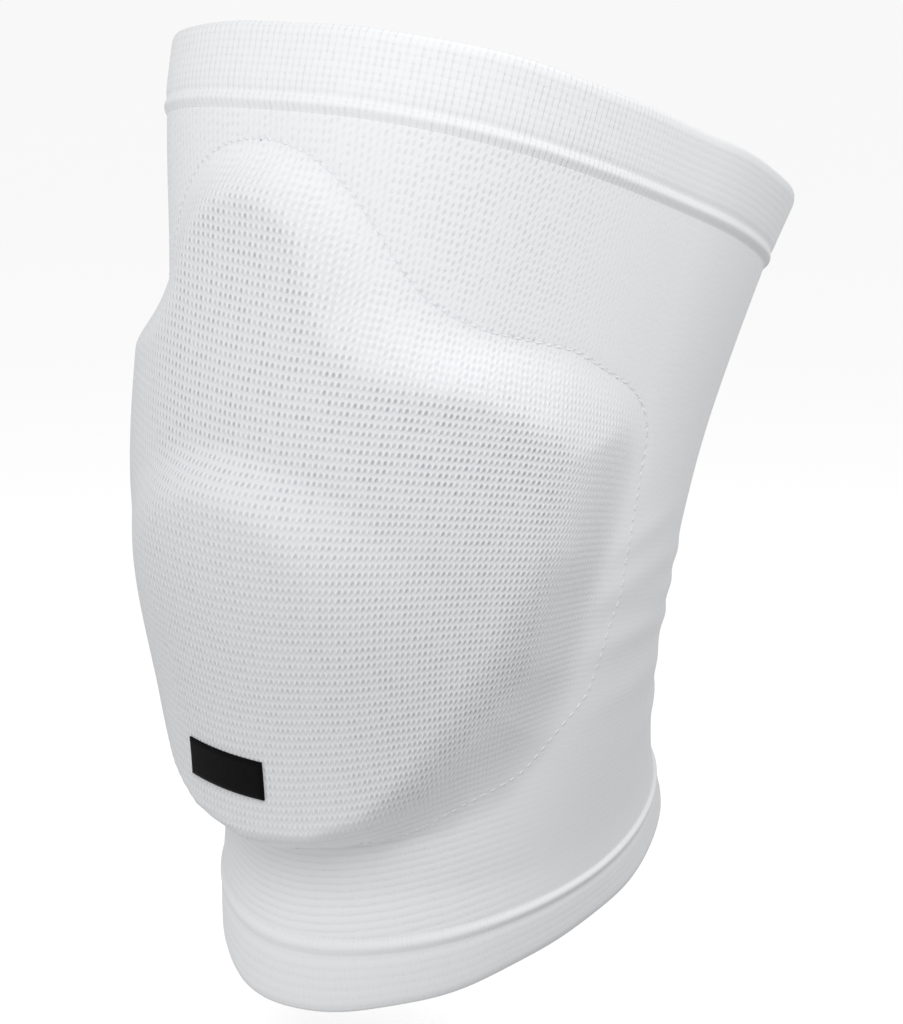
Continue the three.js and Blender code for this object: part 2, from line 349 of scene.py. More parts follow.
@dataclass(frozen=True)
class Pocket:
    """The pocket over the foam: a bevel from the seam up to the face, and a dome over the kneecap."""

    seam: Outline = Outline(
        corners=((0, 63), (70, 67), (82, 64), (82, 30), (78, 13), (67, 2), (42, -6.5), (0, -13)),
        corner_radius=14,
        lobe_radius=31,
        fillet=28,
    )
    foot: Outline = Outline(
        corners=(
            *((0, 63), (70, 67), (82, 64), (78, 46), (75, 30), (74, 14)),
            *((71, 2), (64, -5), (54, -7.5), (32, -9.5), (0, -12.5)),
        ),
        corner_radius=14,
        lobe_radius=31,
        fillet=28,
    )
    face: Outline = Outline(
        corners=(
            *((0, 57), (52, 60), (62, 56), (63, 40), (58, 23)),
            *((50, 9), (42, -1), (32, -8.5), (19, -12.5), (0, -14)),
        ),
        corner_radius=5,
        lobe_radius=15,
        fillet=30,
    )
    open_knit: Outline = Outline(
        corners=((0, 59), (61, 62), (69, 58), (69, 15), (47, -8), (0, -17)),
        corner_radius=4,
        lobe_radius=17.5,
        fillet=30,
    )
    layout_radius: float = 60.0
    layout_middle: float = 28.0
    layout_reach: float = 140.0
    face_rise: float = 12.5
    lobe_rise: float = 7.2
    lobe_blend: Span = (-5.0, 90.0)
    wall_power: float = 1.6
    wall_blend: Span = (34.0, 62.0)
    wall_head_blend: Span = (0.0, 40.0)
    crease: float = 1.5
    dome_up: float = 4.0
    dome_half_across: float = 68.0
    dome_half_up: float = 45.5
    dome_top_bevel: float = 11.0
    dome_side_bevel: float = 36.0
    dome_top_rise: float = 6.6
    dome_foot_rise: float = 0.4
    seam_reach: float = 3.0
    halvings: int = 40

    def off(self, outline: Outline, theta: Array, station: Array) -> Array:
        """Signed distance to one of the outlines on the layout, negative inside."""
        return outline.distance(np.abs(theta) * self.layout_radius, station)

    def dome_share(self, theta: Array, station: Array) -> Array:
        """Share of the dome's height, with a short slope at its top and long ones at its sides.

        Args:
            theta: Angles round the leg.
            station: Stations along it.

        Returns:
            The share at each place, 1 on the dome.
        """
        across = np.abs(theta) * self.layout_radius / self.dome_half_across
        up = (station - self.dome_up) / self.dome_half_up
        reach = np.hypot(across, up)
        slope = np.hypot(across / self.dome_half_across, up / self.dome_half_up)
        middle = slope < TINY
        depth = np.where(middle, self.dome_half_up, reach * (1 - reach) / np.where(middle, 1.0, slope))
        sideways = np.square(across / np.where(middle, 1.0, reach))
        return smooth(depth / blend(self.dome_top_bevel, self.dome_side_bevel, sideways))

    def rise(self, theta: Array, station: Array) -> Array:
        """How far the pocket stands out from the leg.

        Args:
            theta: Angles round the leg.
            station: Stations along it.

        Returns:
            The rise at each place, 0 outside the pocket.
        """
        inside = np.maximum(0.0, -self.off(self.foot, theta, station))
        outside = np.maximum(0.0, self.off(self.face, theta, station))
        up = inside / np.maximum(inside + outside, TINY)
        wall = (1 - (1 - up) ** self.wall_power) * smooth(inside / self.crease)
        flank = ramp(np.abs(theta) * self.layout_radius, self.wall_blend)
        front = (1 - flank) * (1 - ramp(station, self.wall_head_blend))
        height = np.clip(0.5 + (station - self.dome_up) / (2 * self.dome_half_up), 0.0, 1.0)
        crown = blend(self.dome_foot_rise, self.dome_top_rise, height)
        dome = crown * self.dome_share(theta, station) * smooth(up)
        level = blend(self.face_rise, self.lobe_rise, ramp(station, self.lobe_blend))
        return np.where(inside > 0, level * blend(smooth(up), wall, front) + dome, 0.0)

    def edge(self, count: int, inset: float) -> tuple[Array, Array]:
        """A closed path inside the seam.

        Args:
            count: How many points it has.
            inset: Its distance from the seam on the layout.

        Returns:
            The angles and the stations of its points.
        """
        turn = np.linspace(0.0, TAU, count, endpoint=False)
        near, far = np.zeros(count), np.full(count, self.layout_reach)
        for _ in range(self.halvings):
            reach = (near + far) / 2
            across, up = reach * np.sin(turn), self.layout_middle + reach * np.cos(turn)
            outside = self.seam.distance(np.abs(across), up) > -inset
            far = np.where(outside, reach, far)
            near = np.where(outside, near, reach)
        return near * np.sin(turn) / self.layout_radius, self.layout_middle + near * np.cos(turn)

    def seam_run(self, theta: Array, station: Array, path: tuple[Array, Array], run: Array) -> Array:
        """Length along the seam to its point nearest to each place.

        Args:
            theta: Angles round the leg.
            station: Stations along it.
            path: Angles and stations of points along the seam.
            run: Length along the seam to each of those points.

        Returns:
            The lengths, 0 away from the seam.
        """
        near = np.abs(self.off(self.seam, theta, station)) < self.seam_reach
        across = theta[near, None] * self.layout_radius - path[0] * self.layout_radius
        nearest = np.argmin(np.hypot(across, station[near, None] - path[1]), axis=1)
        lengths = np.zeros(np.shape(theta))
        lengths[near] = run[nearest]
        return lengths


class Fold(NamedTuple):
    """A soft fold of the sleeve: its middle, its half-sizes, its climb over half its length, its height."""

    degrees: float
    station: float
    half_round: float
    half_along: float
    slope: float
    height: float


class CoursePitch(NamedTuple):
    """Length of axis to a course of the knit at a station."""

    station: float
    pitch: float


@dataclass(frozen=True)
class KnitLay:
    """How the knit lies on the leg: wales that are dense on the flanks, and courses that bow over the pad.

    Bow and skew are how far a course climbs to the side of the leg, in millimetres of station.
    """

    wales: int = 316
    flank_density: float = 0.6
    flank_starts: Span = (math.radians(5), math.radians(78))
    flank_ends: Span = (math.radians(90), math.radians(150))
    courses: tuple[CoursePitch, ...] = (
        CoursePitch(-60.0, 1.30),
        CoursePitch(-25.0, 1.32),
        CoursePitch(-8.0, 1.50),
        CoursePitch(30.0, 1.54),
        CoursePitch(50.0, 1.66),
        CoursePitch(65.0, 1.79),
        CoursePitch(90.0, 1.95),
        CoursePitch(115.0, 2.10),
        CoursePitch(140.0, 1.80),
    )
    step: float = 0.5
    turn_step: float = math.radians(0.5)
    bow: float = 9.0
    skew: float = 0.8
    skew_growth: float = -0.084
    bow_foot: Span = (-60.0, 0.0)
    bow_head: Span = (70.0, 118.0)

    @staticmethod
    def grown(density: Array, step: float) -> Array:
        """Running total of a density from 0."""
        return np.concatenate([[0.0], np.cumsum((density[1:] + density[:-1]) / 2 * step)])

    def wale(self, theta: Array) -> Array:
        """Counts wales from the front.

        Args:
            theta: Angles round the leg.

        Returns:
            The count at each angle, negative on the left.
        """
        turn = np.arange(0.0, np.pi + self.turn_step, self.turn_step)
        flank = ramp(turn, self.flank_starts) * (1 - ramp(turn, self.flank_ends))
        total = self.grown(1 + self.flank_density * flank, self.turn_step)
        share = np.interp(np.abs(theta), turn, total) / np.interp(np.pi, turn, total)
        return np.sign(theta) * share * self.wales / 2

    def course(self, theta: Array, station: Array) -> Array:
        """Counts courses, which bow over the pad and lie askew, from the lowest station of the table.

        Args:
            theta: Angles round the leg.
            station: Stations along it.

        Returns:
            The count at each place.
        """
        rows = np.array(self.courses)
        fine = np.arange(rows[0, 0], rows[-1, 0] + self.step, self.step)
        total = self.grown(1 / np.interp(fine, rows[:, 0], rows[:, 1]), self.step)
        sine = np.sin(theta)
        bowed = self.bow * sine * sine + (self.skew + self.skew_growth * station) * sine
        on_pad = ramp(station, self.bow_foot) * (1 - ramp(station, self.bow_head))
        return np.interp(station - bowed * on_pad, fine, total)


@dataclass(frozen=True)
class Surface:
    """The outer face of the sleeve, with its seam pressed in and its folds."""

    leg: Leg = Leg()
    pocket: Pocket = Pocket()
    lay: KnitLay = KnitLay()
    knit: float = 2.0
    seam_depth: float = 0.12
    seam_half_width: float = 1.1
    seam_points: int = 900
    seam_slack: Span = (48.0, 64.0)
    folds: tuple[Fold, ...] = (
        Fold(96, 44, 13, 4.2, 7, 0.35),
        Fold(92, 31, 16, 4.4, 6, 0.45),
        Fold(97, 18, 17, 4.0, 3, 0.4),
        Fold(106, 4, 18, 4.6, 2, 0.35),
        Fold(150, 40, 30, 4.0, 2, 1.2),
        Fold(155, 28, 34, 3.8, 0, 1.5),
        Fold(150, 16, 30, 3.8, -2, 1.4),
        Fold(158, 4, 30, 4.0, 2, 1.1),
        Fold(146, -9, 26, 4.2, 4, 0.8),
    )
    fold_fade: Span = (-4.0, 4.0)
    probe: float = 0.2

    def seam_pull(self, station: Array) -> Array:
        """Share of the seam's pull on the knit, which is slack below the wings, and of the painted shade at
        its pinches.
        """
        return ramp(station, self.seam_slack)

    def fold_lift(self, theta: Array, station: Array) -> Array:
        """Height of the folds, the same on both sides.

        Args:
            theta: Angles round the leg.
            station: Stations along it.

        Returns:
            The height at each place, 0 on the pocket.
        """
        degrees = np.degrees(np.abs(theta))
        total = np.zeros(np.broadcast(theta, station).shape)
        for fold in self.folds:
            round_it = (degrees - fold.degrees) / fold.half_round
            ridge = station - fold.station - fold.slope * round_it
            total += fold.height * hump(round_it) * hump(ridge / fold.half_along)
        return total * ramp(self.pocket.off(self.pocket.foot, theta, station), self.fold_fade)

    def lift(self, theta: Array, station: Array) -> Array:
        """Lift of the outer face from the leg, pressed in along the seam."""
        seam = hump(self.pocket.off(self.pocket.seam, theta, station) / self.seam_half_width)
        return self.knit + self.inner_lift(theta, station) - self.seam_depth * seam * self.seam_pull(station)

    def inner_lift(self, theta: Array, station: Array) -> Array:
        """Lift of the inner face from the leg."""
        return self.pocket.rise(theta, station) + self.fold_lift(theta, station)

    def point(self, theta: Array, station: Array, proud: Array | float = 0.0) -> Array:
        """Points on the outer face, or proud of it."""
        return self.leg.point(theta, station, self.lift(theta, station) + proud)

    def seam_path(self) -> tuple[tuple[Array, Array], Array]:
        """The pocket's seam as a closed path.

        Returns:
            The angles and stations of its points, and the length along it to each.
        """
        path = self.pocket.edge(self.seam_points, 0.0)
        steps = np.linalg.norm(np.diff(self.point(*path), axis=0), axis=1)
        return path, np.concatenate([[0.0], np.cumsum(steps)])

    def outward(self, theta: Array, station: Array) -> Array:
        """Unit directions out from the outer face.

        Args:
            theta: Angles round the leg.
            station: Stations along it.

        Returns:
            The direction at each place.
        """
        turn = self.probe / self.pocket.layout_radius
        across = self.point(theta + turn, station) - self.point(theta - turn, station)
        up = self.point(theta, station + self.probe) - self.point(theta, station - self.probe)
        out = np.cross(across, up)
        return out / np.linalg.norm(out, axis=-1, keepdims=True)


def write_mesh(
    name: str, points: Array, faces: Array, corners: Array | None = None, **values: Array
) -> Piece:
    """Writes a mesh object in metres and puts it in the scene.

    Args:
        name: The piece's name.
        points: Its vertices, in millimetres.
        faces: Rows of vertex numbers, a row to a face.
        corners: Places on the knit's lay for each face's corners, if it has them.
        **values: Named numbers, one to a vertex.

    Returns:
        The object.
    """
    mesh = bpy.data.meshes.new(name)
    mesh.vertices.add(len(points))
    mesh.vertices.foreach_set("co", (points * MM).astype(np.float32).ravel())
    sides = faces.shape[1]
    mesh.loops.add(faces.size)
    mesh.loops.foreach_set("vertex_index", faces.astype(np.int32).ravel())
    mesh.polygons.add(len(faces))
    mesh.polygons.foreach_set("loop_start", np.arange(0, faces.size, sides, dtype=np.int32))
    mesh.polygons.foreach_set("use_smooth", np.ones(len(faces), dtype=bool))
    mesh.update(calc_edges=True)
    if corners is not None:
        mesh.uv_layers.new(name=LAY_MAP).data.foreach_set("uv", corners.astype(np.float32).ravel())
    for key, value in values.items():
        mesh.attributes.new(key, "FLOAT", "POINT").data.foreach_set("value", value.astype(np.float32))
    mesh.validate()
    piece = bpy.data.objects.new(name, mesh)
    bpy.context.scene.collection.objects.link(piece)
    return piece


def dress(piece: Piece, material: Material, slot: Slot, *nodes: str) -> None:
    """Gives a piece its finish and its body, and hides the solids that it stands for.

    Args:
        piece: The piece.
        material: Its finish, for a piece that has none yet.
        slot: Not used.
        *nodes: The solids that it stands for.
    """
    if not piece.data.materials:
        piece.data.materials.append(material)
    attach(piece, BODY)
    if nodes:
        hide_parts(*nodes)
    log.info("%s: %d faces", piece.name, len(piece.data.polygons))


def ring_faces(rows: int, columns: int) -> tuple[Array, Array, Array]:
    """Faces of a closed ring of rows, each of which runs round the leg.

    Args:
        rows: How many rows the closed profile has.
        columns: How many columns there are in a turn.

    Returns:
        The vertex numbers, and the row and the column of each face's corners, not wrapped.
    """
    row, column = np.meshgrid(np.arange(rows), np.arange(columns), indexing="ij")
    face_rows = np.stack([row, row, row + 1, row + 1], -1).reshape(-1, 4)
    face_columns = np.stack([column, column + 1, column + 1, column], -1).reshape(-1, 4)
    return (face_rows % rows) * columns + face_columns % columns, face_rows, face_columns


@dataclass(frozen=True)
class Weave:
    """How the knit shows from place to place, with its relief and the painted shade of its marks.

    Each span holds the two ends of a smooth change: distances from an outline for the first two, then
    stations, then degrees from the front, which for lit are negative on the left.
    """

    open_edge: Span = (5.4, -3.6)
    pad_edge: Span = (0.0, -12.0)
    upper: Span = (35.0, 55.0)
    foot: Span = (-25.0, 10.0)
    thigh: Span = (20.0, 70.0)
    lit: Span = (-36.0, -14.0)
    side: Span = (12.0, 44.0)
    away: Span = (50.0, 78.0)
    low_front: float = 0.6
    low_side: float = 0.75
    foot_opening: float = 0.7
    pad_loops: float = 0.65
    open_plain: float = 0.1
    calf_columns: float = 0.2
    front_columns: float = 0.65
    far_columns: float = 0.25
    thigh_courses: float = 0.25
    far_courses: float = 0.2

    def shares(self, pocket: Pocket, theta: Array, station: Array) -> dict[str, Array]:
        """How the knit shows at each place.

        Args:
            pocket: The pocket that pulls it open.
            theta: Angles round the leg.
            station: Stations along it.

        Returns:
            By name, how far its stitches are pulled open, and how much its loops, columns and courses show,
            with their painted shade.
        """
        opened = ramp(pocket.off(pocket.open_knit, theta, station), self.open_edge)
        looped = ramp(pocket.off(pocket.seam, theta, station), self.pad_edge)
        upper, foot, thigh = (ramp(station, span) for span in (self.upper, self.foot, self.thigh))
        side, away = (ramp(np.degrees(np.abs(theta)), span) for span in (self.side, self.away))
        low = blend(self.low_front, self.low_side, side) * blend(self.foot_opening, 1.0, foot)
        plain = blend(1.0, self.open_plain, opened)
        columns = blend(self.calf_columns, 1.0, thigh) * blend(self.front_columns, 1.0, side)
        return {
            # The holes' painted shade fades out on the lit left.
            OPENNESS: opened * blend(low, 1.0, upper) * ramp(np.degrees(theta), self.lit),
            # Over the pad's bevel the painted shade between the loops darkens the knit too.
            LOOPS: np.maximum(opened, self.pad_loops * looped),
            COLUMNS: plain * columns * blend(1.0, self.far_columns, away),
            COURSES: plain * blend(1.0, self.thigh_courses, thigh) * blend(1.0, self.far_courses, away),
        }


@dataclass(frozen=True)
class Sleeve:
    """The knitted tube from cuff to cuff, which bulges over the foam."""

    surface: Surface = Surface()
    weave: Weave = Weave()
    low: float = -41.3
    high: float = 119.3
    columns: int = 480
    rows: int = 150
    inner_rows: int = 40
    end_step: float = 0.06
    front_share: float = 0.6
    girth_ease: float = 1.12
    length_ease: float = 1.05

    def angles(self) -> Array:
        """Angles of the columns in a turn from the back, close together at the front, both ends included."""
        t = np.linspace(-1.0, 1.0, self.columns + 1)
        return np.pi * blend(t**3, t, self.front_share)

    def build(self, material: Material) -> None:
        """Builds the tube as one closed wall.

        Args:
            material: Its finish.
        """
        surface, theta = self.surface, self.angles()
        main = np.linspace(self.low + self.end_step, self.high - self.end_step, self.rows - 2)
        outer = np.concatenate([[self.low], main, [self.high]])
        inner = np.linspace(self.high, self.low, self.inner_rows)
        stations = np.concatenate([outer, inner])
        turn, along = np.meshgrid(theta[:-1], stations)
        lift = surface.lift(turn, along)
        is_inner = np.arange(len(stations)) >= self.rows
        lift[is_inner] = surface.inner_lift(turn, along)[is_inner]
        points = surface.leg.point(turn, along, lift).reshape(-1, 3)
        faces, rows, columns = ring_faces(len(stations), self.columns)
        course = surface.lay.course(turn, along)[rows % len(stations), columns % self.columns]
        corners = np.stack([surface.lay.wale(theta)[columns], course], -1)
        shares = self.weave.shares(surface.pocket, turn, along)
        shares[SEAM_OFF] = surface.pocket.off(surface.pocket.seam, turn, along)
        shares[SEAM_RUN] = surface.pocket.seam_run(turn, along, *surface.seam_path())
        shares[SEAM_PULL] = surface.seam_pull(along) * ~is_inner[:, None]
        shares = {name: share.ravel() for name, share in shares.items()}
        piece = write_mesh("knit_sleeve", points, faces, corners, **shares)
        dress(piece, material, Slot.KNIT, "sleeve")


class RimWave(NamedTuple):
    """One wave of a rim's unevenness: how often it comes in a turn, its share and where it starts."""

    turns: int
    share: float
    start: float


@dataclass(frozen=True)
class Cuff:
    """A band knitted double, with a bead rolled along its join to the sleeve."""

    name: str
    node: str
    end: CuffEnd
    join: float
    rim: float
    surface: Surface = Surface()
    bead_width: float = 3.4
    columns: int = 480
    rib_share: float = 1.0
    course_share: float = 0.5
    hem: float = 2.5
    bead_rise: float = 0.75
    bead_sharpness: float = 1.7
    bead_steps: int = 18
    edge_step: float = 0.015
    overhang: float = 0.5
    bead_foot: float = 2.0
    foot_reach: float = 0.25
    front_press: float = 0.3
    groove: float = 0.25
    groove_width: float = 1.0
    row_step: float = 0.8
    rim_steps: int = 9
    rim_length: float = 2.6
    inner_end: float = 0.4
    rim_wave: float = 0.3
    rim_waves: tuple[RimWave, ...] = (RimWave(3, 1.0, 0.7), RimWave(7, 0.6, 2.1), RimWave(13, 0.4, 4.0))
    wave_lift: float = 0.25
    course_pitch: float = 1.75
    rib_fade: Span = (55.0, 85.0)
    far_ribs: float = 0.2
    width_ease: float = 1.15

    def profile(self) -> Array:
        """The closed profile, up the outside and back inside.

        Returns:
            Rows of distance from the join and lift.
        """
        length = abs(self.rim - self.join)
        edge = self.hem / 2
        share = np.concatenate([[0.0], np.linspace(self.edge_step, 1.0, self.bead_steps)])
        level = blend(self.bead_foot, self.hem - self.groove, share)
        crest = level + self.bead_rise * np.sin(np.pi * share) ** self.bead_sharpness
        bead = np.stack([(self.bead_width + self.overhang) * share - self.overhang, crest], -1)
        flat = np.arange(self.bead_width + self.row_step / 2, length - self.rim_length, self.row_step)
        dip = self.groove * hump((flat - self.bead_width) / self.groove_width)
        band = np.stack([flat, self.hem - dip], -1)
        turn = np.linspace(np.pi / 2, -np.pi / 2, self.rim_steps)
        rim = np.stack([length + self.rim_length * (np.cos(turn) - 1), edge + edge * np.sin(turn)], -1)
        back = np.arange(length - self.rim_length - self.row_step, self.inner_end, -2 * self.row_step)
        inside = np.stack([back, np.zeros(len(back))], -1)
        foot = np.array([[-self.foot_reach, 0.0], [-self.foot_reach, self.bead_foot]])
        return np.concatenate([bead, band, rim, inside, foot])

    def build(self, material: Material) -> None:
        """Builds the band as one closed ring.

        Args:
            material: Its finish.
        """
        profile = self.profile()
        if self.end is CuffEnd.CALF:
            profile = profile[::-1]
        theta = np.linspace(-np.pi, np.pi, self.columns + 1)
        turn, away = np.meshgrid(theta[:-1], profile[:, 0])
        lift = np.repeat(profile[:, 1:], self.columns, axis=1)
        proud = np.maximum(lift - self.hem, 0.0)
        lift = lift - self.front_press * proud * (1 + np.cos(turn)) / 2
        width = abs(self.rim - self.join)
        wave = sum(part.share * np.sin(part.turns * turn + part.start) for part in self.rim_waves)
        wave = self.rim_wave * wave * away / width
        station = self.join + self.end.value * (away + wave)
        points = self.surface.leg.point(turn, station, lift + self.wave_lift * wave).reshape(-1, 3)
        faces, rows, columns = ring_faces(len(profile), self.columns)
        steps = np.linalg.norm(np.diff(profile, axis=0, append=profile[:1]), axis=1)
        course = np.concatenate([[0.0], np.cumsum(steps)]) / self.course_pitch
        corners = np.stack([self.surface.lay.wale(theta)[columns], course[rows]], -1)
        far = ramp(np.degrees(np.abs(turn)), self.rib_fade).ravel()
        # How much the ribs and the courses show with their painted shade, less round the back.
        shares = {
            COLUMNS: self.rib_share * blend(1.0, self.far_ribs, far),
            COURSES: np.full(far.shape, self.course_share),
        }
        piece = write_mesh(self.name, points, faces, corners, **shares)
        dress(piece, material, Slot.CUFF, self.node)
        girth = TAU * float(np.mean(self.surface.leg.radius(theta, np.full_like(theta, self.rim))))


@dataclass(frozen=True)
class FoamPad:
    """The foam in the pocket, bare at its back, where it stands a hair proud of the knit."""

    surface: Surface = Surface()
    spokes: int = 180
    rings: int = 44
    inset: float = 2.0
    clear: float = 0.7
    edge: float = 0.8
    back_proud: float = 0.1
    fill: float = 0.95

    def build(self, material: Material) -> None:
        """Builds the foam as a closed form, with rings from its middle out to its edge on both faces.

        Args:
            material: Its finish.
        """
        pocket, leg = self.surface.pocket, self.surface.leg
        edge_theta, edge_station = pocket.edge(self.spokes, self.inset)
        share = np.linspace(0.0, 1.0, self.rings + 1)[1:, None]
        theta = share * edge_theta
        station = blend(pocket.layout_middle, edge_station, share)
        lift = np.maximum(pocket.rise(theta, station) - self.clear, self.edge)
        front = leg.point(theta, station, lift).reshape(-1, 3)
        back = leg.point(theta, station, -self.back_proud).reshape(-1, 3)
        middle = np.array([pocket.layout_middle])
        ahead = np.zeros(1)
        top = leg.point(ahead, middle, pocket.rise(ahead, middle) - self.clear)
        bottom = leg.point(ahead, middle, -self.back_proud)
        points = np.concatenate([front, back, top, bottom])
        piece = write_mesh("foam_body", points, self.faces(len(front)))
        dress(piece, material, Slot.FOAM, "foam_pad")

    def faces(self, count: int) -> Array:
        """Triangles of both faces, of the edge between them and of the two middles.

        Args:
            count: Vertices on each face without its middle.

        Returns:
            Rows of three vertex numbers.
        """
        ring, spoke = np.meshgrid(np.arange(self.rings - 1), np.arange(self.spokes), indexing="ij")
        a = (ring * self.spokes + spoke).ravel()
        b = (ring * self.spokes + (spoke + 1) % self.spokes).ravel()
        c, d = b + self.spokes, a + self.spokes
        front = np.concatenate([np.stack([a, b, c], -1), np.stack([a, c, d], -1)])
        here = np.arange(self.spokes)
        after = (here + 1) % self.spokes
        rim, rim_after = here + count - self.spokes, after + count - self.spokes
        near = np.stack([rim, rim_after, rim_after + count], -1)
        far = np.stack([rim, rim_after + count, rim + count], -1)
        top = np.stack([np.full(self.spokes, 2 * count), after, here], -1)
        bottom = np.stack([np.full(self.spokes, 2 * count + 1), here + count, after + count], -1)
        return np.concatenate([front, front[:, ::-1] + count, near, far, top, bottom])


@dataclass(frozen=True)
class Label:
    """The small woven tag on the pad, blank, with its edges pressed down by its stitches."""

    surface: Surface = Surface()
    middle: float = math.radians(-4.6)
    half_angle: float = math.radians(13.5)
    bottom: float = -12.1
    top: float = -5.3
    columns: int = 60
    rows: int = 28
    thickness: float = 0.75
    stand: float = 0.12
    pressed: float = 0.6
    side_press: float = 0.08
    end_press: float = 0.2
    flat_metres: Span = (0.0265, 0.0105)

    def build(self, material: Material) -> None:
        """Builds the tag as a closed sheet.

        Args:
            material: Its finish.
        """
        across, along = np.meshgrid(np.linspace(-1.0, 1.0, self.columns), np.linspace(-1.0, 1.0, self.rows))
        theta = self.middle + self.half_angle * across
        station = blend(self.bottom, self.top, (1 + along) / 2)
        puff = smooth((1 - np.abs(across)) / self.side_press) * smooth((1 - np.abs(along)) / self.end_press)
        proud = self.stand + self.thickness * blend(self.pressed, 1.0, puff)
        face = self.surface.point(theta, station, proud)
        back = self.surface.point(theta, station, self.stand)
        points = np.concatenate([face.reshape(-1, 3), back.reshape(-1, 3)])
        index = np.arange(self.rows * self.columns).reshape(self.rows, self.columns)
        a, b, c, d = index[:-1, :-1], index[:-1, 1:], index[1:, 1:], index[1:, :-1]
        front = np.stack([a, b, c, d], -1).reshape(-1, 4)
        border = np.concatenate([index[0, :], index[1:, -1], index[-1, -2::-1], index[-2:0:-1, 0]])
        after = np.roll(border, -1)
        sides = np.stack([border, border + index.size, after + index.size, after], -1)
        faces = np.concatenate([front, front[:, ::-1] + index.size, sides])
        lay = np.stack(np.meshgrid(np.arange(self.columns), np.arange(self.rows)), -1).reshape(-1, 2)
        piece = write_mesh("woven_label", points, faces, np.concatenate([lay, lay])[faces])
        dress(piece, material, Slot.LABEL, "label")


def bake(source: Piece, name: str) -> Piece:
    """Turns a node tree's result into a plain mesh object and removes its source.

    Args:
        source: The object that carries the modifier.
        name: Name of the new piece.

    Returns:
        The new piece.
    """
    made = source.evaluated_get(bpy.context.evaluated_depsgraph_get())
    mesh = bpy.data.meshes.new_from_object(made)
    mesh.name = name
    bpy.data.objects.remove(source)
    piece = bpy.data.objects.new(name, mesh)
    bpy.context.scene.collection.objects.link(piece)
    return piece


@dataclass(frozen=True)
class StitchRow:
    """Sizes of the stitches in a row and their thread."""

    thread: Material
    pitch: float
    length: float
    width: float
    height: float
    proud: float


class StitchTree:
    """A Geometry Nodes tree that sets stitches at even steps along a path."""

    segments: int = 8
    rings: int = 5

    def __init__(self) -> None:
        """Builds the tree with named inputs for the stitch's sizes and finish."""
        tree = bpy.data.node_groups.new("stitch_row", "GeometryNodeTree")
        face = tree.interface
        face.new_socket("Path", in_out="INPUT", socket_type="NodeSocketGeometry")
        for name in ("Pitch", "Length", "Width", "Height"):
            face.new_socket(name, in_out="INPUT", socket_type="NodeSocketFloat")
        face.new_socket("Thread", in_out="INPUT", socket_type="NodeSocketMaterial")
        face.new_socket("Stitches", in_out="OUTPUT", socket_type="NodeSocketGeometry")
        given = add(tree, "NodeGroupInput", {}).outputs
        curve = add(tree, "GeometryNodeMeshToCurve", {"Mesh": given["Path"]})
        even = add(
            tree, "GeometryNodeResampleCurve", {"Curve": curve, "Length": given["Pitch"]}, mode="LENGTH"
        )
        out = add(tree, "GeometryNodeInputNamedAttribute", {"Name": OUTWARD}, data_type="FLOAT_VECTOR")
        upright = add(tree, "FunctionNodeAlignRotationToVector", {"Vector": out}, axis="Z")
        along = {"Rotation": upright, "Vector": add(tree, "GeometryNodeInputTangent", {})}
        turned = add(tree, "FunctionNodeAlignRotationToVector", along, axis="X", pivot_axis="Z")
        shape = {"Segments": self.segments, "Rings": self.rings, "Radius": 0.5}
        bead = add(tree, "GeometryNodeMeshUVSphere", shape)
        sides = {"X": given["Length"], "Y": given["Width"], "Z": given["Height"]}
        size = add(tree, "ShaderNodeCombineXYZ", sides)
        placed = {"Points": even, "Instance": bead, "Rotation": turned, "Scale": size}
        set_out = add(tree, "GeometryNodeInstanceOnPoints", placed)
        real = add(tree, "GeometryNodeRealizeInstances", {"Geometry": set_out})
        rounded = add(tree, "GeometryNodeSetShadeSmooth", {"Geometry": real})
        done = add(tree, "GeometryNodeSetMaterial", {"Geometry": rounded, "Material": given["Thread"]})
        add(tree, "NodeGroupOutput", {"Stitches": done})
        self.tree = tree

    def sew(self, name: str, surface: Surface, path: tuple[Array, Array], row: StitchRow) -> Piece:
        """Sews a row of stitches along a closed path on the sleeve.

        Args:
            name: The piece's name.
            surface: The sleeve's outer face.
            path: Angles and stations of the path's points.
            row: The stitches' sizes and thread.

        Returns:
            The stitches as one plain mesh.
        """
        points, out = surface.point(*path, row.proud), surface.outward(*path)
        mesh = bpy.data.meshes.new(name + "_path")
        edges = [(i, (i + 1) % len(points)) for i in range(len(points))]
        mesh.from_pydata((points * MM).tolist(), edges, [])
        outward = mesh.attributes.new(OUTWARD, "FLOAT_VECTOR", "POINT")
        outward.data.foreach_set("vector", out.astype(np.float32).ravel())
        carrier = bpy.data.objects.new(name + "_path", mesh)
        bpy.context.scene.collection.objects.link(carrier)
        sizes = {"Pitch": row.pitch, "Length": row.length, "Width": row.width, "Height": row.height}
        modifier = carrier.modifiers.new("stitches", "NODES")
        modifier.node_group = self.tree
        for item in self.tree.interface.items_tree:
            if item.name in sizes:
                modifier[item.identifier] = sizes[item.name] * MM
            elif item.name == "Thread":
                modifier[item.identifier] = row.thread
        return bake(carrier, name)


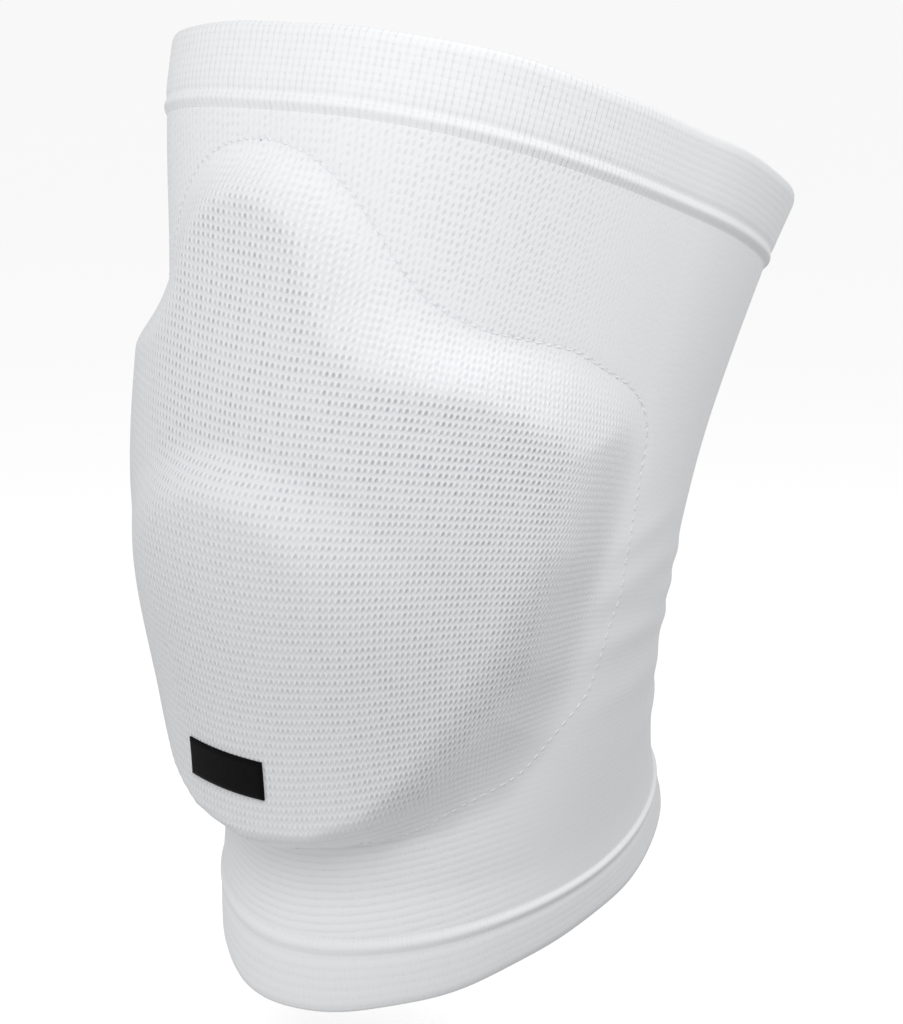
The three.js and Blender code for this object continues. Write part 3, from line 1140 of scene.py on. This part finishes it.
@dataclass(frozen=True)
class KnitFinish:
    """White stretch knit of bulked nylon: matte and slightly fuzzy, with painted shade in its holes, between
    its loops, in its dashes and furrows and at the seam's pinches.

    Half-widths, half-heights and leans of its marks are shares of a stitch. Shades are shares of the way to
    the colour of the painted shade, and rises and depths are shares of the relief. The relief, the pinch's
    width and the sizes of the drift and the fuzz are in millimetres.
    """

    name: str
    yarn: str = "#f3f4f6"
    painted_shade: str = "#8f9398"
    roughness: float = 0.9
    specular: float = 0.25
    sheen: float = 0.2
    sheen_roughness: float = 0.6
    relief: float = 0.25
    lean: float = 0.18
    hole_width: float = 0.19
    hole_height: float = 0.3
    hole_shade: float = 0.3
    loop_width: float = 0.26
    loop_height: float = 0.38
    loop_shade: float = 0.14
    loop_rise: float = 0.7
    dash_lean: float = 0.3
    dash_width: float = 0.25
    dash_height: float = 0.46
    dash_shade: float = 0.17
    dash_depth: float = 0.35
    course_shade: float = 0.08
    course_depth: float = 0.1
    pinch_width: float = 0.55
    pinch_length: float = 0.3
    pinch_shade: float = 0.07
    pinch_depth: float = 0.4
    uneven: Span = (0.5, 1.15)
    spot_rim: float = 1.3
    spot_top: float = 0.3
    drift_size: float = 11.0
    drift: float = 0.25
    drift_detail: float = 1.0
    fuzz_size: float = 0.45
    fuzz: float = 0.12
    fuzz_detail: float = 3.0

    def build(self) -> Material:
        """Builds the material on the knit's own lay, in wales and courses.

        Returns:
            The material.
        """
        material, tree, shader = blank(self.name)
        place = add(tree, "ShaderNodeTexCoord", {}).outputs["Object"]
        shares = {
            key: add(tree, "ShaderNodeAttribute", {}, attribute_name=key).outputs["Fac"]
            for key in (OPENNESS, LOOPS, COLUMNS, COURSES, SEAM_OFF, SEAM_RUN, SEAM_PULL)
        }
        lay = add(tree, "ShaderNodeUVMap", {}, uv_map=LAY_MAP)
        # The wales and courses wander by a quarter of a stitch over about 11 mm.
        wander = {"Vector": place, "Scale": 1 / (self.drift_size * MM), "Detail": self.drift_detail}
        wander = add(tree, "ShaderNodeTexNoise", wander).outputs["Color"]
        shift = {0: wander, 1: (self.drift,) * 3, 2: lay}
        shift = add(tree, "ShaderNodeVectorMath", shift, operation="MULTIPLY_ADD")
        knit = add(tree, "ShaderNodeSeparateXYZ", {0: shift}).outputs

        # Over the pad each stitch is a bright leaning loop with a hole beside it; the holes and the ground
        # between the loops get painted shade.
        row = self.cell(tree, knit["Y"])
        leaning = add(tree, "ShaderNodeMath", {0: row, 1: -self.lean, 2: knit["X"]}, operation="MULTIPLY_ADD")
        hole = self.spot(tree, self.cell(tree, leaning), self.hole_width, row, self.hole_height)
        beside = add(tree, "ShaderNodeMath", {0: leaning, 1: 0.5}, operation="ADD")
        loop = self.spot(tree, self.cell(tree, beside), self.loop_width, row, self.loop_height)
        loop = add(tree, "ShaderNodeMath", {0: loop, 1: -1.0}, operation="ADD")

        # Elsewhere a stitch is a thin leaning dash, at its own height in each wale, and courses are furrows,
        # both with painted shade.
        wale = add(tree, "ShaderNodeMath", {0: knit["X"]}, operation="FLOOR")
        start = add(tree, "ShaderNodeTexWhiteNoise", {"W": wale}, noise_dimensions="1D")
        dash_row = self.cell(tree, add(tree, "ShaderNodeMath", {0: start, 1: knit["Y"]}, operation="ADD"))
        slant = add(tree, "ShaderNodeMath", {0: dash_row, 1: -self.dash_lean}, operation="MULTIPLY")
        dash_across = add(tree, "ShaderNodeMath", {0: self.cell(tree, knit["X"]), 1: slant}, operation="ADD")
        dash = self.spot(tree, dash_across, self.dash_width, dash_row, self.dash_height)
        turn = add(tree, "ShaderNodeMath", {0: knit["Y"], 1: TAU}, operation="MULTIPLY")
        furrow = add(tree, "ShaderNodeMath", {0: turn}, operation="COSINE")

        # Where the pocket is sewn on, the knit is pinched in at each needle hole, with painted shade in each
        # pinch.
        run = add(tree, "ShaderNodeMath", {0: shares[SEAM_RUN], 1: SEAM_PITCH}, operation="DIVIDE")
        pinch = self.spot(tree, self.cell(tree, run), self.pinch_length, shares[SEAM_OFF], self.pinch_width)

        # No two stitches are pulled quite alike, and the yarn's fuzz is about half a millimetre in size.
        cell = add(tree, "ShaderNodeCombineXYZ", {"X": leaning, "Y": knit["Y"]})
        whole = add(tree, "ShaderNodeVectorMath", {0: cell}, operation="FLOOR")
        chance = add(tree, "ShaderNodeTexWhiteNoise", {"Vector": whole}, noise_dimensions="2D")
        pulls = {"Value": chance, "To Min": self.uneven[0], "To Max": self.uneven[1]}
        uneven = add(tree, "ShaderNodeMapRange", pulls)
        fuzz = {"Vector": place, "Scale": 1 / (self.fuzz_size * MM), "Detail": self.fuzz_detail}
        fuzz = add(tree, "ShaderNodeTexNoise", fuzz)
        height = add(tree, "ShaderNodeMath", {0: fuzz, 1: self.fuzz}, operation="MULTIPLY")
        # Each mark darkens the yarn in its recess towards the painted shade's colour, and sinks the relief
        # there.
        shade: Source = 0.0
        for mark, factors, dark, raised in (
            (hole, (shares[OPENNESS], uneven), self.hole_shade, -1.0),
            (loop, (shares[LOOPS],), -self.loop_shade, self.loop_rise),
            (dash, (shares[COLUMNS], uneven), self.dash_shade, -self.dash_depth),
            (furrow, (shares[COURSES], uneven), self.course_shade, -self.course_depth),
            (pinch, (shares[SEAM_PULL],), self.pinch_shade, -self.pinch_depth),
        ):
            for factor in factors:
                mark = add(tree, "ShaderNodeMath", {0: mark, 1: factor}, operation="MULTIPLY")
            shade = add(tree, "ShaderNodeMath", {0: mark, 1: dark, 2: shade}, operation="MULTIPLY_ADD")
            height = add(tree, "ShaderNodeMath", {0: mark, 1: raised, 2: height}, operation="MULTIPLY_ADD")
        shade = add(tree, "ShaderNodeClamp", {"Value": shade})
        tones = {"Factor": shade, 6: linear(self.yarn), 7: linear(self.painted_shade)}
        coat = {
            "Base Color": add(tree, "ShaderNodeMix", tones, data_type="RGBA").outputs[2],
            "Normal": add(tree, "ShaderNodeBump", {"Height": height, "Distance": self.relief * MM}),
            "Roughness": self.roughness,
            "Specular IOR Level": self.specular,
            "Sheen Weight": self.sheen,
            "Sheen Roughness": self.sheen_roughness,
        }
        wire(tree, shader, coat)
        return material

    @staticmethod
    def cell(tree: Tree, count: Source) -> Node:
        """Place within a stitch, from -0.5 to 0.5, for a count of stitches."""
        part = add(tree, "ShaderNodeMath", {0: count}, operation="FRACT")
        return add(tree, "ShaderNodeMath", {0: part, 1: 0.5}, operation="SUBTRACT")

    def spot(self, tree: Tree, across: Source, half_width: float, up: Source, half_height: float) -> Node:
        """A soft oval that is 1 in its middle.

        Args:
            tree: The material's tree.
            across: Place across it.
            half_width: Half of its width.
            up: Place along it.
            half_height: Half of its height.

        Returns:
            The node whose output is the oval.
        """
        place = add(tree, "ShaderNodeCombineXYZ", {"X": across, "Y": up})
        scale = (1 / half_width, 1 / half_height, 0.0)
        scaled = add(tree, "ShaderNodeVectorMath", {0: place, 1: scale}, operation="MULTIPLY")
        reach = add(tree, "ShaderNodeVectorMath", {0: scaled}, operation="LENGTH").outputs["Value"]
        fall = {"Value": reach, "From Min": self.spot_rim, "From Max": self.spot_top}
        return add(tree, "ShaderNodeMapRange", fall, interpolation_type="SMOOTHSTEP")


@dataclass(frozen=True)
class ThreadFinish:
    """Twisted polyester sewing thread: a little glossier than the knit, with fine slanting lines of twist."""

    name: str = "white_polyester_thread"
    colour: str = "#eeeff2"
    roughness: float = 0.6
    twist: float = 0.4
    waver: float = 1.5
    relief: float = 0.1

    def build(self) -> Material:
        """Builds the material on Object coordinates.

        Returns:
            The material.
        """
        material, tree, shader = blank(self.name)
        place = add(tree, "ShaderNodeTexCoord", {}).outputs["Object"]
        # At this scale the lines of the twist lie about 0.9 mm apart.
        lines = {"Vector": place, "Scale": 1 / (self.twist * MM) / TAU, "Distortion": self.waver}
        lines = add(tree, "ShaderNodeTexWave", lines, bands_direction="DIAGONAL").outputs["Fac"]
        coat = {
            "Base Color": linear(self.colour),
            "Normal": add(tree, "ShaderNodeBump", {"Height": lines, "Distance": self.relief * MM}),
            "Roughness": self.roughness,
        }
        wire(tree, shader, coat)
        return material


@dataclass(frozen=True)
class FoamFinish:
    """Closed-cell foam with a skived back: off-white, matte, with fine cells."""

    name: str = "closed_cell_foam"
    skin: str = "#f0efeb"
    pore_shade: str = "#e0ded7"
    roughness: float = 0.9
    cell: float = 0.8
    relief: float = 0.12

    def build(self) -> Material:
        """Builds the material on Object coordinates.

        Returns:
            The material.
        """
        material, tree, shader = blank(self.name)
        place = add(tree, "ShaderNodeTexCoord", {}).outputs["Object"]
        # A cell of the foam to each 0.8 mm, with painted shade in the pit of each cell.
        cells = add(tree, "ShaderNodeTexVoronoi", {"Vector": place, "Scale": 1 / (self.cell * MM)})
        depth = cells.outputs["Distance"]
        tones = {"Factor": depth, 6: linear(self.pore_shade), 7: linear(self.skin)}
        coat = {
            "Base Color": add(tree, "ShaderNodeMix", tones, data_type="RGBA").outputs[2],
            "Normal": add(tree, "ShaderNodeBump", {"Height": depth, "Distance": self.relief * MM}),
            "Roughness": self.roughness,
        }
        wire(tree, shader, coat)
        return material


@dataclass(frozen=True)
class LabelFinish:
    """Black damask label ribbon: a close, matte weave of two nearly equal blacks."""

    name: str = "woven_satin_ribbon"
    warp: str = "#050506"
    weft: str = "#0b0b0d"
    roughness: float = 0.7
    specular: float = 0.06
    relief: float = 0.08

    def build(self) -> Material:
        """Builds the material on the tag's own lay, one unit to a thread of about 0.4 mm.

        Returns:
            The material.
        """
        material, tree, shader = blank(self.name)
        lay = add(tree, "ShaderNodeUVMap", {}, uv_map=LAY_MAP)
        weave = add(tree, "ShaderNodeTexChecker", {"Vector": lay, "Scale": 1.0}).outputs["Fac"]
        tones = {"Factor": weave, 6: linear(self.warp), 7: linear(self.weft)}
        coat = {
            "Base Color": add(tree, "ShaderNodeMix", tones, data_type="RGBA").outputs[2],
            "Normal": add(tree, "ShaderNodeBump", {"Height": weave, "Distance": self.relief * MM}),
            "Roughness": self.roughness,
            "Specular IOR Level": self.specular,
        }
        wire(tree, shader, coat)
        return material


class Lamp(NamedTuple):
    """A round soft box: its power in watts, its size and its place in metres."""

    name: str
    power: float
    size: float
    place: tuple[float, float, float]


@dataclass(frozen=True)
class Studio:
    """A pale floor, soft light all round with two soft boxes, and the camera at the photograph's angle."""

    azimuth: float = math.radians(45.0)
    elevation: float = math.radians(12.0)
    distance: float = 680.0
    target: tuple[float, float, float] = (0.0, 14.3, 36.9)
    focal_pixels: float = 2677.0
    long_side: int = 1024
    sensor: float = 36.0
    floor_height: float = -110.0
    floor_radius: float = 30000.0
    floor_sides: int = 96
    floor_colour: str = "#f7f7f7"
    floor_glow: float = 0.5
    light_colour: str = "#ffffff"
    bright_way: tuple[float, float, float] = (-0.707, -0.707, 0.0)
    bright: float = 0.66
    dim: float = 0.36
    lamps: tuple[Lamp, ...] = (
        Lamp("key", 1.25, 0.36, (0.236, -0.377, 0.383)),
        Lamp("fill", 1.12, 0.36, (0.352, 0.295, 0.446)),
    )
    lamp_target: tuple[float, float, float] = (0.0, 0.0, 0.06)

    def direction(self) -> Vector:
        """Unit direction from the target to the camera."""
        ahead = Vector((math.sin(self.azimuth), -math.cos(self.azimuth), 0.0))
        return ahead * math.cos(self.elevation) + Vector((0.0, 0.0, math.sin(self.elevation)))

    def set_camera(self) -> None:
        """Makes the camera and hands it to the scene."""
        data = bpy.data.cameras.new("camera")
        data.sensor_width = self.sensor
        data.lens = self.focal_pixels * self.sensor / self.long_side
        camera = bpy.data.objects.new("camera", data)
        bpy.context.scene.collection.objects.link(camera)
        camera.location = (Vector(self.target) + self.direction() * self.distance) * MM
        camera.rotation_mode = "QUATERNION"
        camera.rotation_quaternion = (-self.direction()).to_track_quat("-Z", "Y")
        bpy.context.scene.camera = camera

    def set_floor(self) -> None:
        """Makes the pale floor, a wide disc."""
        turn = np.linspace(0.0, TAU, self.floor_sides, endpoint=False)
        flat = np.full_like(turn, self.floor_height)
        rim = np.stack([self.floor_radius * np.cos(turn), self.floor_radius * np.sin(turn), flat], -1)
        floor = write_mesh("floor", rim, np.arange(self.floor_sides)[None, :])
        material, tree, shader = blank("matte_paper")
        coat = {
            "Base Color": linear(self.floor_colour),
            "Roughness": 1.0,
            "Specular IOR Level": 0.0,
            "Emission Color": linear(self.floor_colour),
            "Emission Strength": self.floor_glow,
        }
        wire(tree, shader, coat)
        floor.data.materials.append(material)
        floor.visible_diffuse = False

    def set_light(self) -> None:
        """Makes the light all round, brighter from the left of the front, and the soft boxes on the right."""
        world = bpy.data.worlds.new("studio")
        world.use_nodes = True
        tree = world.node_tree
        way = add(tree, "ShaderNodeTexCoord", {}).outputs["Generated"]
        along = add(tree, "ShaderNodeVectorMath", {0: way, 1: self.bright_way}, operation="DOT_PRODUCT")
        along = along.outputs["Value"]
        spread = {"Value": along, "From Min": -1.0, "To Min": self.dim, "To Max": self.bright}
        strength = add(tree, "ShaderNodeMapRange", spread)
        wire(tree, tree.nodes["Background"], {"Color": linear(self.light_colour), "Strength": strength})
        # The light all round is smooth and needs no samples of its own. With them the boxes leave
        # steps of shade.
        world.cycles.sampling_method = "NONE"
        bpy.context.scene.world = world
        for lamp in self.lamps:
            data = bpy.data.lights.new(lamp.name, "AREA")
            data.shape = "DISK"
            data.size = lamp.size
            data.energy = lamp.power
            soft_box = bpy.data.objects.new(lamp.name, data)
            bpy.context.scene.collection.objects.link(soft_box)
            soft_box.location = lamp.place
            soft_box.rotation_mode = "QUATERNION"
            aim = Vector(self.lamp_target) - soft_box.location
            soft_box.rotation_quaternion = aim.to_track_quat("-Z", "Y")
        bpy.context.scene.view_settings.view_transform = "Standard"


def main() -> None:
    """Builds the studio and each piece of the pad in order."""
    logging.basicConfig(level=logging.INFO, format="%(name)s %(message)s")
    surface = Surface()
    studio = Studio()
    studio.set_camera()
    studio.set_floor()
    studio.set_light()
    knit = KnitFinish("nylon_stretch_knit").build()
    # On the cuffs the dashes run on into ribs, with painted shade along them.
    ribs = KnitFinish("nylon_cuff_knit", dash_lean=0.0, dash_height=2.0, dash_width=0.18, dash_shade=0.08)
    cuff_knit = ribs.build()
    thread = ThreadFinish().build()
    Sleeve(surface).build(knit)
    Cuff("thigh_cuff", "upper_cuff", CuffEnd.THIGH, join=119.6, rim=139.0).build(cuff_knit)
    Cuff(
        "calf_cuff", "lower_cuff", CuffEnd.CALF, join=-41.6, rim=-54.5, bead_width=2.6, rib_share=0.35
    ).build(cuff_knit)
    FoamPad(surface).build(FoamFinish().build())
    Label(surface).build(LabelFinish().build())
    seam, _ = surface.seam_path()
    row = StitchRow(thread, pitch=SEAM_PITCH, length=1.7, width=0.42, height=0.32, proud=0.03)
    dress(StitchTree().sew("pocket_stitches", surface, seam, row), thread, Slot.KNIT)
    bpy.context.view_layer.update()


if __name__ == "__main__":
    main()
